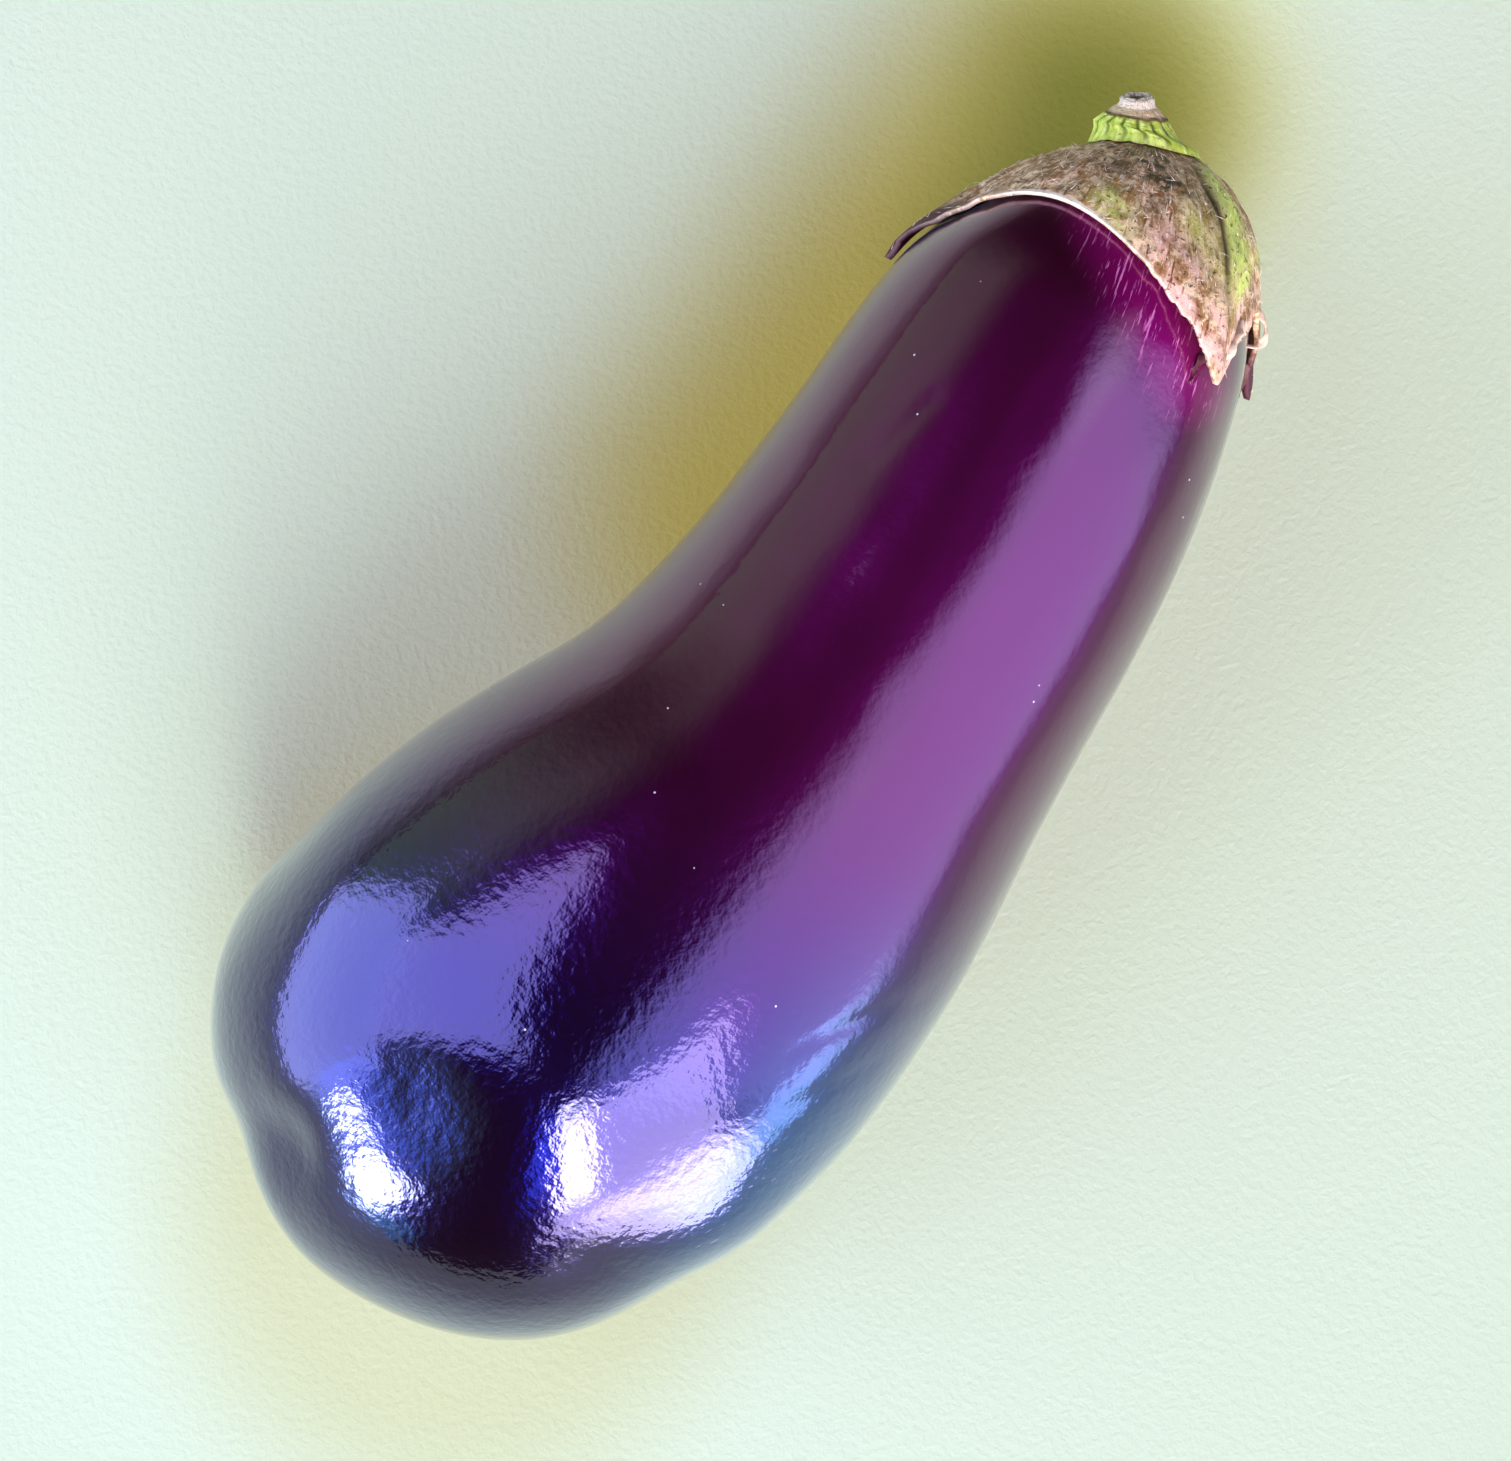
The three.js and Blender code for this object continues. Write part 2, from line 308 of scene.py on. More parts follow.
# Each wrinkle is a groove seen from above: its two ends, its width and its depth.
WRINKLES = (
    ((-42.2, -32), (-28, -42.5), 1.1, 0.16),
    ((-36, -37), (-26, -46.5), 1.1, 0.14),
    ((-50, -36), (-38, -45), 1.2, 0.12),
    ((52, -2), (38, 2), 1.6, 0.12),
)
# Waves in the skin: cells of their lattice round the fruit and along it, the seed, mm high
# on the belly, and the share of that on the neck.
SKIN_WAVES = (
    (13, 9, 31, 0.22, 0.12),
    (34, 24, 32, 0.055, 1.5),
    (80, 60, 33, 0.012, 0.4),
)
NECK_START, BELLY_END = 0.72, 0.3  # shares of the line between which one turns to the other
WORN_LINE = ((-72, -34), (-62, -38))  # the skin is scratched along this line
WORN_WIDE = 5
YOUNG_LINE = ((88.5, -12.5), (74.5, -34))  # the near sepal's edge, beside which skin is young
YOUNG_WIDE, YOUNG_FULL = 10, 2
SEEN_ABOVE = 45  # skin higher than this is seen from above
SKIN_GRAIN = 30  # radius in mm at which the grain of the skin is drawn full size
SKIN_GRAIN_LONG = 0.12  # of its length down the fruit
fruit_t = (1 - np.cos(np.pi * np.arange(1, FRUIT_ROWS) / FRUIT_ROWS)) / 2
fruit_turn = -2 * np.pi * np.arange(FRUIT_COLUMNS) / FRUIT_COLUMNS
grid_t, grid_turn = np.meshgrid(fruit_t, fruit_turn, indexing="ij")
fruit_rings, fruit_out = fruit_skin(grid_t, grid_turn)
u = grid_turn / (2 * np.pi)
soft = smooth(NECK_START, BELLY_END, grid_t)
waves = np.zeros(grid_t.shape)
for cells_round, cells_along, seed, high, on_neck in SKIN_WAVES:
    height = high * (on_neck + (1 - on_neck) * soft)
    waves += field(u, grid_t, cells_round, cells_along, seed) * height
for start, end, wide, deep in WRINKLES:
    groove = bump(line_distance(fruit_rings, start, end), 0, wide)
    waves -= deep * groove * (fruit_rings[..., 2] > SEEN_ABOVE)
fruit_rings += fruit_out * (waves * smooth(0, 0.05, grid_t))[..., None]
blossom_tip = fruit_skin(np.array([0.0]), np.array([0.0]))[0]
stem_tip = fruit_skin(np.array([1.0]), np.array([0.0]))[0]
fruit_points, fruit_quads, fruit_ends = closed_rings(blossom_tip, fruit_rings, stem_tip)
fruit_points[:, 2] = np.maximum(fruit_points[:, 2], REST_Z)

skin_material, tree, skin = new_material("waxy purple skin")
fruit = skin_object("fruit_skin", fruit_points, fruit_quads, fruit_ends, skin_material, "skin")
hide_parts("fruit")
paint(fruit, "belly", smooth(2, -60, fruit_points[:, 0]))
from_above = fruit_points[:, 2] > SEEN_ABOVE
beside_sepal = line_distance(fruit_points, *YOUNG_LINE)
paint(fruit, "young", smooth(YOUNG_WIDE, YOUNG_FULL, beside_sepal) * from_above)
# Painted reflection: the near flank of the belly is tinted blue-grey, as blue light shows in it.
painted_reflection = bump(fruit_points[:, 0], -58, 34) * smooth(-22, -40, fruit_points[:, 1])
paint(fruit, "painted_reflection", painted_reflection * smooth(18, 40, fruit_points[:, 2]))
paint(fruit, "worn", bump(line_distance(fruit_points, *WORN_LINE), 0, WORN_WIDE) * from_above)
spin = every_point(0, grid_turn, last=0)
run = fruit_points[:, 0] * SKIN_GRAIN_LONG
paint_grain(fruit, np.cos(spin) * SKIN_GRAIN, np.sin(spin) * SKIN_GRAIN, run)

NECK_COLOR, BELLY_COLOR = (0.011, 0.0001, 0.002, 1), (0.003, 0.0001, 0.001, 1)
YOUNG_COLOR = (0.1, 0.0004, 0.04, 1)  # the light has hardly reached it yet
STREAK_COLOR = (0.42, 0.12, 0.26, 1)  # fine pale streaks in the young skin
PAINTED_REFLECTION_COLOR = (0.012, 0.04, 0.065, 1)  # a painted blue reflection on the near flank
DOT_COLOR = (0.5, 0.45, 0.45, 1)  # pores
SCRATCH_COLOR = (0.25, 0.2, 0.3, 1)
NECK_SHINE, BELLY_SHINE = (1, 0.02, 0.65, 1), (0.06, 0.03, 0.85, 1)
belly = attribute(tree, "belly")
young = attribute(tree, "young")
place = node(tree, "TexCoord").outputs["Object"]
color = blend(tree, belly, NECK_COLOR, BELLY_COLOR)
color = blend(tree, young, color, YOUNG_COLOR)
# The blue-grey tint on the near flank is a painted reflection.
color = blend(tree, attribute(tree, "painted_reflection"), color, PAINTED_REFLECTION_COLOR)
streaks = ramp(tree, noise(tree, attribute(tree, "grain", "Vector"), 2.0), 0.58, 0.68)
color = blend(tree, times(tree, streaks, young), color, STREAK_COLOR)
cells = node(tree, "TexVoronoi", Vector=place, Scale=190.0)
dots = ramp(tree, cells.outputs["Distance"], 0.04, 0.025)
dots = times(tree, dots, ramp(tree, cells.outputs["Color"], 0.5, 0.6))
color = blend(tree, dots, color, DOT_COLOR)
drawn = node(tree, "Mapping", Vector=place, Rotation=(0, 0, -0.6), Scale=(7, 1, 1))
drawn.vector_type = "TEXTURE"
scratches = ramp(tree, noise(tree, drawn.outputs["Vector"], 1900.0, 2.0), 0.66, 0.72)
color = blend(tree, times(tree, scratches, attribute(tree, "worn")), color, SCRATCH_COLOR)
tree.links.new(color, skin.inputs["Base Color"])
tint = blend(tree, belly, NECK_SHINE, BELLY_SHINE)
tree.links.new(tint, skin.inputs["Specular Tint"])
rough = node(tree, "MapRange", Value=belly, To_Min=0.31, To_Max=0.17)
tree.links.new(rough.outputs["Result"], skin.inputs["Roughness"])
set_sockets(skin, {
    "IOR": 1.85,
    "Coat Weight": 1.0,
    "Coat Roughness": 0.06,
    "Coat IOR": 1.5,
    "Sheen Weight": 0.03,
    "Sheen Roughness": 0.35,
    "Sheen Tint": (0.4, 0.8, 1, 1),
})
peel = noise(tree, place, 620.0, 2.5, 0.55)
strength = node(tree, "MapRange", Value=belly, To_Min=0.1, To_Max=0.3)
bumps = node(tree, "Bump", Strength=strength.outputs["Result"], Distance=0.0003, Height=peel)
tree.links.new(bumps.outputs["Normal"], skin.inputs["Normal"])
tree.links.new(bumps.outputs["Normal"], skin.inputs["Coat Normal"])

# THE CALYX
# Five sepals grown into one leathery cap over the crown of the fruit, green once and now
# drying brown. It grew on the fruit and holds at the crown; its edges lift, roll and fray.

# Each tip of a sepal: angle round the fruit, mm down the skin from the crown, mm of curl.
CALYX_TIPS = np.array([
    [-43, 31.5, 0.8],
    [92, 33, 0],
    [142, 29, 1.2],
    [198, 31, 2],
    [256, 29, 1.6],
])
# Each bay from that tip to the next: mm down at its middle, and how round it is.
CALYX_BAYS = np.array([[15.5, 1.9], [17, 1.8], [15, 1.8], [16, 1.8], [18, 1.8]])
CALYX_GAP = 0.3  # clear of the skin
CROWN_THICK = 1.6
EDGE_THICK = 0.8
KEEL_HIGH = 0.7  # the fold down the middle of each sepal
KEEL_WIDE = 7  # degrees
EDGE_LIFT = 0.25
EDGE_WAVE = 0.4
EDGE_WAVES = 23  # round the whole cap
LINE_LENGTH = 222  # of the fruit's middle line, mm
GRAIN_RADIUS = 24  # mm from the middle of the crown where the grain is drawn full size
GRAIN_STRETCH = 0.2  # how much longer the grain is down a sepal than across it
MARGIN_LIFT = 1.3  # mm that the margin beside the near tip stands off the skin
MARGIN_AT, MARGIN_WIDE = 327, 9  # where that is, in degrees
CREASE_DEEP = 0.5  # the dry crease beside the near sepal's fold


def sepal_at(angle):
    """At angles in degrees: the numbers of the tip on that side, those of the bay beside
    it, the share of the way from the bay's middle to the tip, and the degrees to the tip."""
    count = len(CALYX_TIPS)
    start = CALYX_TIPS[:, 0]
    gap = (np.roll(start, -1) - start) % 360
    past = (angle[..., None] - start) % 360
    i = np.argmax(past <= gap, axis=-1)
    w = 2 * np.take_along_axis(past, i[..., None], -1)[..., 0] / gap[i] - 1
    tip = np.where(w < 0, i, (i + 1) % count)
    return CALYX_TIPS[tip], CALYX_BAYS[i], abs(w), (1 - abs(w)) * gap[i] / 2


def calyx_reach(angle):
    """How far down the edge is: the bay's depth plus the rest of the tip's times the share
    of the way to the tip to the bay's power, with ragged waves that grow towards the tips
    and small nicks everywhere but along the smooth rim over the top."""
    tip, bay, to_tip, _ = sepal_at(angle)
    ragged = to_tip**2 * (1 - to_tip**6)
    wave = EDGE_WAVE * np.sin(np.radians(angle) * EDGE_WAVES) * ragged
    u = angle / 360
    nicks = 0.3 * field(u, u * 0, 150, 1, 3) + 0.2 * field(u, u * 0, 420, 1, 4)
    nicks = nicks * smooth(0.45, 0.7, to_tip) * (1 - smooth(0.93, 1, to_tip))
    return bay[..., 0] + (tip[..., 1] - bay[..., 0]) * to_tip ** bay[..., 1] + wave + nicks


def calyx_point(q, angle, side):
    """Points of the calyx at share q from the crown to the edge: the fruit's skin as far
    down as reach times (1 - cos(q times a quarter turn)), moved out by the gap, the lift
    of the drying edge, and on the outside (side 1) the thickness, the fold and wrinkles."""
    tip, _, to_tip, from_keel = sepal_at(angle)
    down = calyx_reach(angle) * (1 - np.cos(q * np.pi / 2))
    point, out = fruit_skin(1 - down / LINE_LENGTH, np.radians(angle))
    u = angle / 360
    wavy = np.sin(np.radians(angle) * EDGE_WAVES)
    lift = EDGE_LIFT * (smooth(0.55, 1, q) + smooth(0.7, 1, q) * to_tip * (1 + wavy))
    lift += tip[..., 2] * smooth(0.5, 1, q) ** 2 * to_tip**8
    lift += MARGIN_LIFT * bump(angle % 360, MARGIN_AT, MARGIN_WIDE) * smooth(0.6, 1, q)
    lift += 0.25 * (1 + field(u, q, 60, 5, 5)) * smooth(0.8, 1, q) * smooth(0.3, 0.6, to_tip)
    thick = CROWN_THICK + (EDGE_THICK - CROWN_THICK) * smooth(0.1, 0.9, q)
    fold = KEEL_HIGH * bump(from_keel, 0, KEEL_WIDE) * smooth(0.2, 0.5, q)
    fold *= 1 - 0.6 * smooth(0.8, 1, q)
    wrinkles = 0.3 * field(u, q, 46, 7, 6) + 0.16 * field(u, q, 110, 16, 7)
    wrinkles += 0.12 * field(u, q, 230, 9, 8) - CREASE_DEEP * crease(q, angle)
    wrinkles *= smooth(0.12, 0.4, q) * (1 - 0.75 * smooth(0.93, 1, q))
    outside = thick + fold + wrinkles
    return point + out * (CALYX_GAP + lift + side * outside)[..., None]


def crease(q, angle):
    """A narrow line that runs down the near sepal: 1 in its middle, 0 away from it. It
    wanders a little, and fades out toward the crown and the tip."""
    wander = -39.5 - 4 * q + 1.2 * np.sin(q * 9)
    off = (angle - wander + 180) % 360 - 180
    wide = 1.1 / np.maximum(q, 0.3)
    return np.exp(-((off / wide) ** 2)) * smooth(0.22, 0.4, q) * smooth(0.9, 0.6, q)


CALYX_COLUMNS = 480
OUTER_ROWS = 110
INNER_ROWS = 40


def calyx_grid(rows, side):
    """Rings of one side of the calyx with their q and angle. The rows crowd to the edge."""
    q = np.sin(np.arange(1, rows + 1) / rows * np.pi / 2) ** 0.8
    angle = -360 * np.arange(CALYX_COLUMNS) / CALYX_COLUMNS
    q, angle = np.meshgrid(q, angle, indexing="ij")
    return q, angle, calyx_point(q, angle, side)


inner_q, inner_angle, inner_rings = calyx_grid(INNER_ROWS, 0)
outer_q, outer_angle, outer_rings = calyx_grid(OUTER_ROWS, 1)
crown = np.array([0.0])
points, quads, ends = closed_rings(
    calyx_point(crown, crown, 0),
    np.vstack([inner_rings, outer_rings[::-1]]),
    calyx_point(crown, crown, 1),
)
calyx_material, tree, leather = new_material("drying calyx")
calyx = skin_object("calyx_leather", points, quads, ends, calyx_material, "calyx")
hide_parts("calyx")

# What each point is made of, as masks from 0 to 1.
q = every_point(0, inner_q, outer_q[::-1], last=0)
angle = every_point(0, inner_angle, outer_angle[::-1], last=0)
outer = every_point(0, inner_q * 0, outer_q * 0 + 1, last=1)
_, _, to_tip, from_keel = sepal_at(angle)
turn = (angle + 180) % 360 - 180
blotch = 0.5 + 0.5 * field(angle / 360, q, 26, 8, 11)
fine = 0.5 + 0.5 * field(angle / 360, q, 90, 24, 12)
mottle = 0.5 + 0.5 * field(angle / 360, q, 34, 15, 14)
green = 1.3 * bump(turn, -56, 13) * smooth(0.2, 0.35, q) * (1 - smooth(0.75, 0.9, q))
green *= 0.55 + 0.45 * smooth(0.3, 0.5, mottle)
green += 0.8 * bump(turn, -30, 8) * bump(q, 0.62, 0.16) * blotch
green += 0.9 * bump(turn, 4, 10) * bump(q, 0.9, 0.14) * fine
green += 0.55 * (from_keel > 24) * smooth(0.5, 0.9, blotch) * (abs(turn) > 75)
dark = bump(turn, -14, 27) * bump(q, 0.5, 0.24) * smooth(0.3, 0.6, mottle)
dark += 0.6 * smooth(0.55, 0.8, mottle) * smooth(0.3, 0.7, blotch)
pink = smooth(0.6, 0.95, q) * smooth(0.3, 0.8, fine) * smooth(0.2, 0.6, to_tip)
pink *= 1 - smooth(70, 85, abs(turn))
shrivelled = smooth(0.4, 0.8, to_tip) * smooth(0.62, 0.85, q) * smooth(60, 75, abs(turn))
rim_wide = 0.008 + 0.012 * bump(turn, 30, 22)
rim = smooth(1 - 1.6 * rim_wide, 1 - 0.7 * rim_wide, q) * bump(turn, 22, 42)
rim *= np.maximum(outer, smooth(0.97, 1, q) * bump(turn, 25, 20))
rim *= smooth(-0.9, 0.1, field(angle / 360, q, 90, 1, 13))
# Painted shade: the creases down the sepals are coloured dark, as the shade in them.
painted_crease_shade = crease(q, angle) + 0.5 * bump(turn, 12, 4) * bump(q, 0.55, 0.2)
for name, mask in {
    "shrivelled": shrivelled,
    "green": green,
    "dark": dark,
    "pink": pink,
    "rim": rim,
    "painted_crease_shade": painted_crease_shade,
}.items():
    paint(calyx, name, np.clip(mask, 0, 1))
spin = np.radians(angle)
grain_out = (np.cos(spin) * GRAIN_RADIUS, np.sin(spin) * GRAIN_RADIUS)
paint_grain(calyx, *grain_out, q * GRAIN_STRETCH * GRAIN_RADIUS)


def dry_fibres():
    """A node group for dried plant: soft fibres along a grain, specks as fine as its
    cells, and the normal that both give."""
    group = bpy.data.node_groups.new("dry fibres", "ShaderNodeTree")
    group.interface.new_socket("Grain", in_out="INPUT", socket_type="NodeSocketVector")
    for name, kind in (("Fibres", "Float"), ("Specks", "Float"), ("Normal", "Vector")):
        group.interface.new_socket(name, in_out="OUTPUT", socket_type="NodeSocket" + kind)
    given = group.nodes.new("NodeGroupInput").outputs["Grain"]
    result = group.nodes.new("NodeGroupOutput")
    fibres = noise(group, given, 1.7)
    specks = noise(group, node(group, "TexCoord").outputs["Object"], 1200.0, 3.0, 0.7)
    height = blend(group, 0.5, fibres, specks)
    rough = node(group, "Bump", Strength=0.8, Distance=0.0006, Height=height)
    for name, socket in zip(("Fibres", "Specks", "Normal"), (fibres, specks, rough.outputs["Normal"])):
        group.links.new(socket, result.inputs[name])
    return group


def dried(tree):
    """The outputs of the dry fibres in a material, along its painted grain."""
    made = tree.nodes.new("ShaderNodeGroup")
    made.node_tree = bpy.data.node_groups.get("dry fibres") or dry_fibres()
    tree.links.new(attribute(tree, "grain", "Vector"), made.inputs["Grain"])
    return (made.outputs[name] for name in ("Fibres", "Specks", "Normal"))


fibres, specks, rough = dried(tree)
place = node(tree, "TexCoord").outputs["Object"]
flecks = noise(tree, place, 360.0, 5.0, 0.75)
spots = ramp(tree, noise(tree, place, 700.0, 3.0, 0.7), 0.66, 0.44)
color = blend(tree, ramp(tree, flecks, 0.42, 0.6), (0.33, 0.15, 0.045, 1), (0.85, 0.57, 0.32, 1))
color = blend(tree, attribute(tree, "pink"), color, (0.85, 0.48, 0.34, 1))
color = blend(tree, ramp(tree, fibres, 0.57, 0.78), color, (0.95, 0.85, 0.68, 1))
color = blend(tree, ramp(tree, fibres, 0.45, 0.32), color, (0.2, 0.06, 0.02, 1))
color = blend(tree, attribute(tree, "green"), color, (0.66, 0.74, 0.14, 1))
color = blend(tree, ramp(tree, specks, 0.54, 0.7), color, (0.08, 0.03, 0.003, 1))
color = blend(tree, ramp(tree, specks, 0.38, 0.28), color, (0.9, 0.75, 0.5, 1))
color = blend(tree, times(tree, attribute(tree, "dark"), spots), color, (0.06, 0.035, 0.005, 1))
# Painted shade in the creases.
color = blend(tree, attribute(tree, "painted_crease_shade"), color, (0.05, 0.025, 0.004, 1))
color = blend(tree, attribute(tree, "shrivelled"), color, (0.07, 0.01, 0.018, 1))
color = blend(tree, attribute(tree, "rim"), color, (0.8, 0.66, 0.48, 1))
tree.links.new(color, leather.inputs["Base Color"])
tree.links.new(rough, leather.inputs["Normal"])
set_sockets(leather, {"Roughness": 0.6, "Specular IOR Level": 0.35})

HAIR_CENTRE = (88, -12, 50)  # a place inside the calyx that hairs point away from
HAIR_THICK = 0.07
HAIR_SHORT, HAIR_LONG = 0.8, 2.6
HAIR_TURNS = np.radians([90, 210, 330])  # the three corners of a hair's foot


def hairs(name, count, material, seed):
    """Short stiff hairs on the calyx: thin three-sided cones that stand on random places
    of its outside and lie over toward random ways along it."""
    rng = np.random.default_rng(seed)
    q = np.sqrt(rng.uniform(0.05, 0.98, count))
    angle = rng.uniform(-180, 180, count)
    root = calyx_point(q, angle, 1)
    down = unit(calyx_point(q - 0.01, angle, 1) - root)
    across = unit(calyx_point(q, angle + 1, 1) - root)
    out = unit(np.cross(down, across))
    out *= np.sign(np.sum(out * (root - np.array(HAIR_CENTRE)), -1))[:, None]
    spin = rng.uniform(0, 2 * np.pi, count)[:, None]
    lean = rng.uniform(0.1, 0.5, count)[:, None]
    way = unit(down * np.cos(spin) + across * np.sin(spin) + out * lean)
    side = unit(np.cross(way, out))
    up = np.cross(side, way)
    long = rng.uniform(HAIR_SHORT, HAIR_LONG, count)[:, None]
    foot = root + out * HAIR_THICK
    corners = [foot + HAIR_THICK * (side * np.cos(a) + up * np.sin(a)) for a in HAIR_TURNS]
    points = np.stack([*corners, foot + way * long], 1).reshape(-1, 3)
    first = 4 * np.arange(count)[:, None]
    faces = np.concatenate([first + face for face in ([1, 0, 3], [2, 1, 3], [0, 2, 3], [0, 1, 2])])
    thing = skin_object(name, points, faces[:0], faces, material, "calyx")
    paint(thing, "rim", np.full(len(points), 0.8))
    return thing


hairs("calyx_hairs", 420, calyx_material, 5)


def curl(name, path, material, seed, red):
    """A dried shred of sepal: a flat ribbon along a curve through rows of x, y, z, half
    width and half thickness, whose section is an ellipse that turns as it goes."""
    t = np.linspace(0, 1, 40)
    row = along(np.array(path, float), t)
    way = unit(np.gradient(row[:, :3], axis=0))
    side = unit(np.cross(way, [0.0, 0.0, 1.0]))
    up = np.cross(side, way)
    spin = np.linspace(0, 2 * np.pi, 17)[:-1]
    turn = np.radians(60) * np.sin(t * 7 + seed)[:, None]
    flat = np.cos(spin) * row[:, 3:4] * (1 + 0.25 * np.sin(t * 19 + seed)[:, None])
    thick = np.sin(spin) * row[:, 4:5]
    a = flat * np.cos(turn) - thick * np.sin(turn)
    b = flat * np.sin(turn) + thick * np.cos(turn)
    rings = row[:, None, :3] + side[:, None] * a[..., None] + up[:, None] * b[..., None]
    thing = skin_object(name, *closed_rings(row[0, :3], rings, row[-1, :3]), material, "calyx")
    paint(thing, "shrivelled", np.full(len(thing.data.vertices), red))
    paint(thing, "rim", np.full(len(thing.data.vertices), max(0.6 - red, 0)))
    return thing


curl("dry_loop", (
    (86.4, -38.6, 53, 0.5, 0.2), (86.8, -41.6, 52, 0.6, 0.2), (88.9, -42.6, 52, 0.7, 0.22),
    (91.4, -40.8, 54, 0.6, 0.2), (91.6, -38.6, 55, 0.7, 0.22), (89.8, -37.2, 56, 0.5, 0.2),
), calyx_material, 1, 0.3)
curl("dry_shred", (
    (84.5, -40, 52, 0.7, 0.25), (83.2, -42.8, 51, 0.9, 0.3), (80.4, -42.8, 50, 0.6, 0.3),
    (78.2, -43.2, 50, 0.3, 0.2),
), calyx_material, 4, 0.9)
curl("tip_shred", (
    (78.2, -34, 74.2, 0.7, 0.2), (75.6, -33.4, 74, 0.7, 0.2), (74.2, -34, 73.8, 0.6, 0.2),
    (73, -33.4, 74.4, 0.3, 0.2),
), calyx_material, 6, 1)
curl("rolled_margin", (
    (86.5, -36.6, 68.4, 0.4, 0.3), (83.8, -37, 70.3, 1, 0.6), (80.4, -36.6, 73, 1.1, 0.6),
    (77.6, -36.4, 75.4, 0.5, 0.4),
), calyx_material, 2, 0.0)

# THE STEM
# The ribbed green stump that the fruit hung from, snapped off. Its rind has dried back to
# a brown cone and a lip, and the pale woody core stands out of it, broken and hollow.

STEM_LINE = np.array([
    [105.2, -9.9, 52.2],
    [106.9, -8.4, 53.2],
    [108.8, -7.2, 54.6],
    [110.9, -6, 56.1],
])
STEM_LONG = 9  # its length
STEM_END_WAY = np.array([0.76, 0.46, 0.46])  # the way the broken end faces
STEM_FOOT = 1.3  # how far down the calyx the foot spreads
STEM_FOOT_WIDE = 9  # its radius there
STEM_SEATED = 0.4  # share of the stem that still takes its shape from the crown
STEM_GAP = 0.35
# Each row is a place up the stem: share of its length, radius, share of the ribs' depth.
STEM_SHAPE = np.array([
    [0.12, 8.2, 0.8],
    [0.25, 7.3, 1],
    [0.38, 6.5, 1],
    [0.5, 5.6, 1],
    [0.6, 4.9, 0.9],
    [0.665, 4.6, 0.6],
    [0.69, 4.3, 0.2],
    [0.72, 4.1, 0.2],
    [0.8, 3.4, 0.2],
    [0.83, 2.8, 0.3],
    [0.92, 2.6, 0.3],
    [0.99, 2.6, 0.3],
    [1, 2.1, 0],
    [0.985, 1.3, 0],
    [0.96, 0.6, 0],
])
STEM_RIBS = 15
STEM_RIB_DEEP = 0.6
STEM_COLUMNS = 360
STEM_ROWS = 150
STEM_GRAIN_RADIUS = 5  # mm from the stem's middle where its grain is drawn full size
STEM_GRAIN_LONG = 2  # the grain's length up the whole stem

stem_t = np.linspace(0, 1, STEM_ROWS)
stem_share, stem_radius, stem_ribbed = along(STEM_SHAPE, stem_t).T[:, :, None]
stem_angle = -360 * np.arange(STEM_COLUMNS) / STEM_COLUMNS
crown_way = unit(along(FRUIT_LINE, np.array([1.0])) - along(FRUIT_LINE, np.array([1 - LINE_STEP])))
crown_way = unit(crown_way[0, :3])


def stem_foot(q, angle):
    """The crown of the calyx, its wrinkles and all, moved up by the stem's gap."""
    return calyx_point(q, angle, 1) + STEM_GAP * crown_way


def foot_share(angle):
    """The q of the calyx that lies as far down as the foot of the stem spreads."""
    return np.arccos(1 - STEM_FOOT / calyx_reach(angle)) * 2 / np.pi


u = stem_angle / 360
rough = field(u, stem_t[:, None], 40, 30, 21) * 0.1 + field(u, stem_t[:, None], 120, 70, 22) * 0.06
lip = bump(stem_share, 0.665, 0.03) * field(u, u * 0, 34, 1, 23) * 0.35
wobble = 3 * field(u, u * 0, 9, 1, 24)
ridge = abs(np.sin(np.radians(stem_angle + wobble) * STEM_RIBS / 2))
rib = STEM_RIB_DEEP * stem_ribbed * (ridge - 0.5)
stem_wide = stem_radius + rib + (rough + lip) * smooth(0.02, 0.1, stem_share)
tangent = unit(crown_way + (STEM_END_WAY - crown_way) * stem_share[..., None])
side = unit(np.cross([0.0, 0.0, 1.0], tangent))
up = np.cross(tangent, side)
turn = np.radians(stem_angle)[:, None]
shape = stem_wide[..., None]
stem_round = along(STEM_LINE, stem_share) + (side * np.sin(turn) + up * np.cos(turn)) * shape
broken = (stem_share > 0.9) * bump(stem_wide, 1.6, 1.3) * field(u, stem_t[:, None], 14, 60, 25)
stem_round += tangent * (0.35 * broken)[..., None]
angles = np.broadcast_to(stem_angle, stem_wide.shape)
seated = stem_foot(foot_share(angles) * stem_wide / STEM_FOOT_WIDE, angles)
seated = seated + (stem_share * STEM_LONG)[..., None] * crown_way
stem_upper = seated + (stem_round - seated) * smooth(0, STEM_SEATED, stem_share)[..., None]
under = np.linspace(0.06, 1, 16)[:, None] * foot_share(stem_angle)
stem_under = stem_foot(under, np.broadcast_to(stem_angle, under.shape))
points, quads, ends = closed_rings(
    stem_foot(crown, crown),
    np.vstack([stem_under, stem_upper]),
    along(STEM_LINE, np.array([STEM_SHAPE[-1, 0]])),
)
stem_material, tree, rind = new_material("ribbed stem")
stem = skin_object("stem_stump", points, quads, ends, stem_material, "stem")
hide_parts("stem")

# What each point is made of, as masks from 0 to 1.
share = every_point(0, under * 0, np.broadcast_to(stem_share, stem_wide.shape), last=1)
wide = every_point(STEM_FOOT_WIDE, under * 0 + STEM_FOOT_WIDE, stem_wide, last=0)
